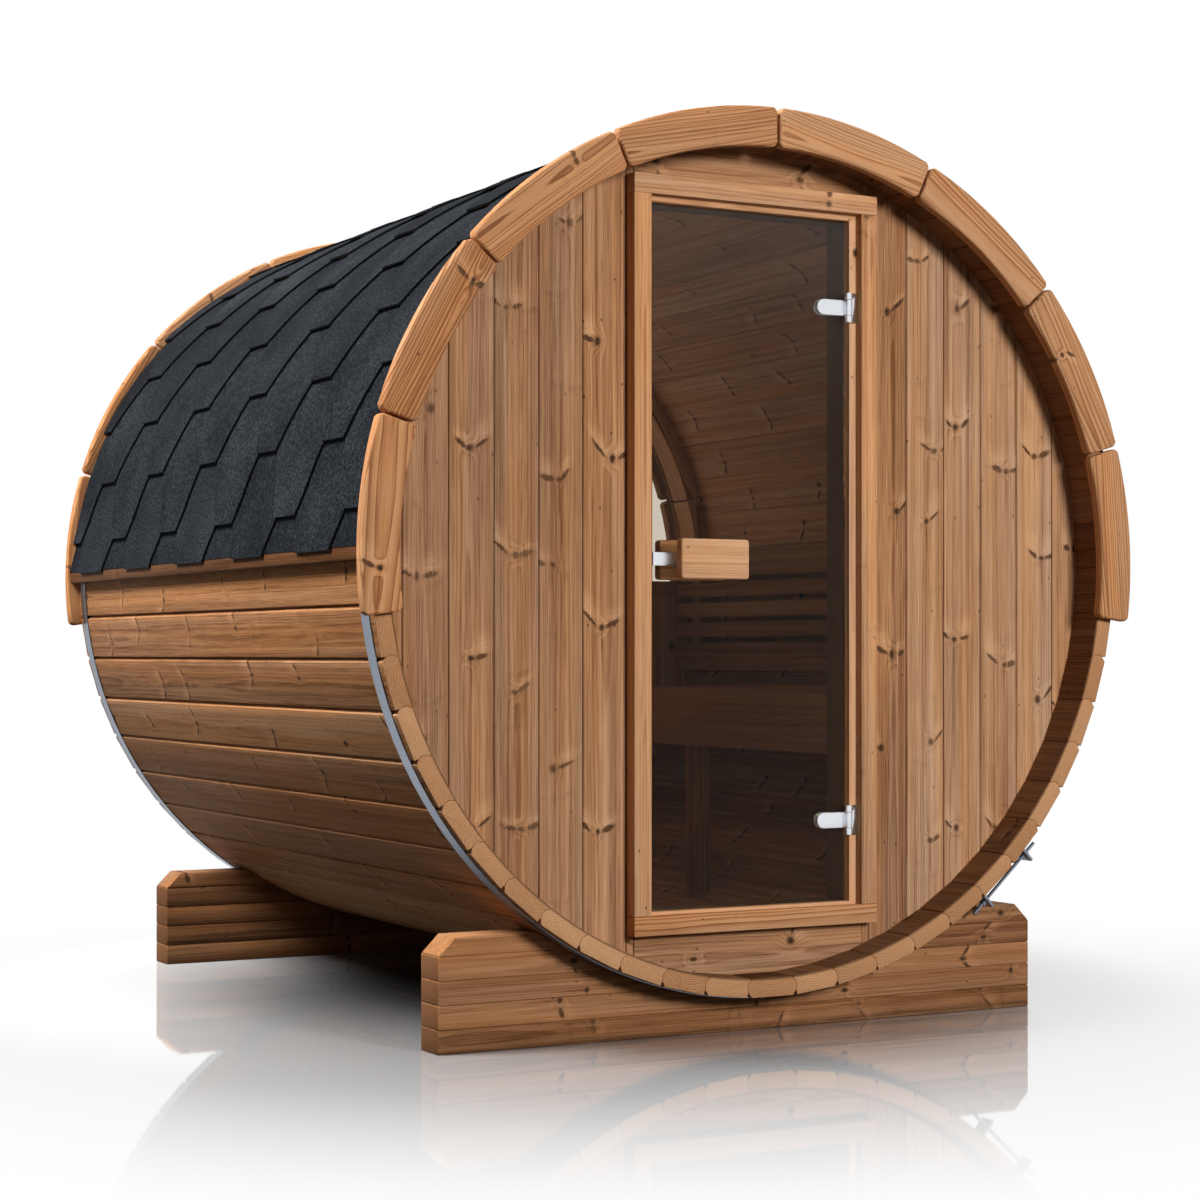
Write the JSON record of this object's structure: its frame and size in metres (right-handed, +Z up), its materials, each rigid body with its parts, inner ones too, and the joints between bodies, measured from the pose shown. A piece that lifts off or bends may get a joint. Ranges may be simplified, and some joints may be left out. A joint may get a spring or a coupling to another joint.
{
  "type": "barrel sauna",
  "caption": "Barrel sauna: a lying barrel of bead-and-cove staves on cradles, with a hinged glass door, half-moon rear window, shingle roof and bench.",
  "frame": {"origin": "on the ground under the middle of the barrel", "axes": "+Y along the barrel from the door to the rear window, +X to the right seen from the door, +Z up"},
  "size_m": [1.9962, 2.0564, 2.0454],
  "materials": {
    "stave_wood": "oiled heat-treated softwood",
    "cradle_wood": "oiled heat-treated softwood",
    "wall_wood": "oiled heat-treated softwood",
    "trim_wood": "oiled heat-treated softwood",
    "casing_wood": "oiled heat-treated softwood",
    "batten_wood": "oiled heat-treated softwood",
    "handle_wood": "oiled heat-treated softwood",
    "bench_wood": "planed heat-treated hardwood",
    "shingle": "mineral-faced bitumen",
    "steel": "satin stainless",
    "satin_metal": "satin",
    "door_glass": "bronze tint",
    "window_glass": "bronze tint"
  },
  "bodies": {
    "root": {"staves_top": "stave_wood", "staves_upper_right": "stave_wood", "staves_lower_right": "stave_wood", "staves_bottom": "stave_wood", "staves_lower_left": "stave_wood", "staves_upper_left": "stave_wood", "cradle_front": "cradle_wood", "cradle_rear": "cradle_wood", "hoop_front": "steel", "hoop_rear": "steel", "hoop_tensioners": "steel", "shingles_left": "shingle", "shingles_right": "shingle", "eave_battens": "batten_wood", "front_trims": "trim_wood", "rear_trims": "trim_wood", "front_wall_left": "wall_wood", "front_wall_right": "wall_wood", "front_wall_over_door": "wall_wood", "front_wall_under_door": "wall_wood", "rear_wall": "wall_wood", "window_rail": "batten_wood", "window_glass": "window_glass", "window_beads_inside": "batten_wood", "window_beads_outside": "batten_wood", "door_jambs": "casing_wood", "door_head": "casing_wood", "door_threshold": "casing_wood", "casing_sides": "casing_wood", "casing_head": "casing_wood", "casing_sill": "casing_wood", "hinge_plates": "satin_metal", "bench_seat": "bench_wood", "bench_fascia": "bench_wood", "bench_post": "bench_wood", "bench_bearers": "bench_wood", "backrest_slats": "bench_wood", "backrest_uprights": "bench_wood"},
    "door": {"door_glass": "door_glass", "hinge_leaves": "satin_metal", "handle_outside": "handle_wood", "handle_inside": "handle_wood", "handle_strap": "satin_metal"}
  },
  "joints": [
    {"name": "door_hinge", "type": "hinge", "parent": "root", "child": "door", "pos_m": [0.25, -0.93, 0], "axis": [0, 0, 1], "range_deg": [0, 100]}
  ]
}
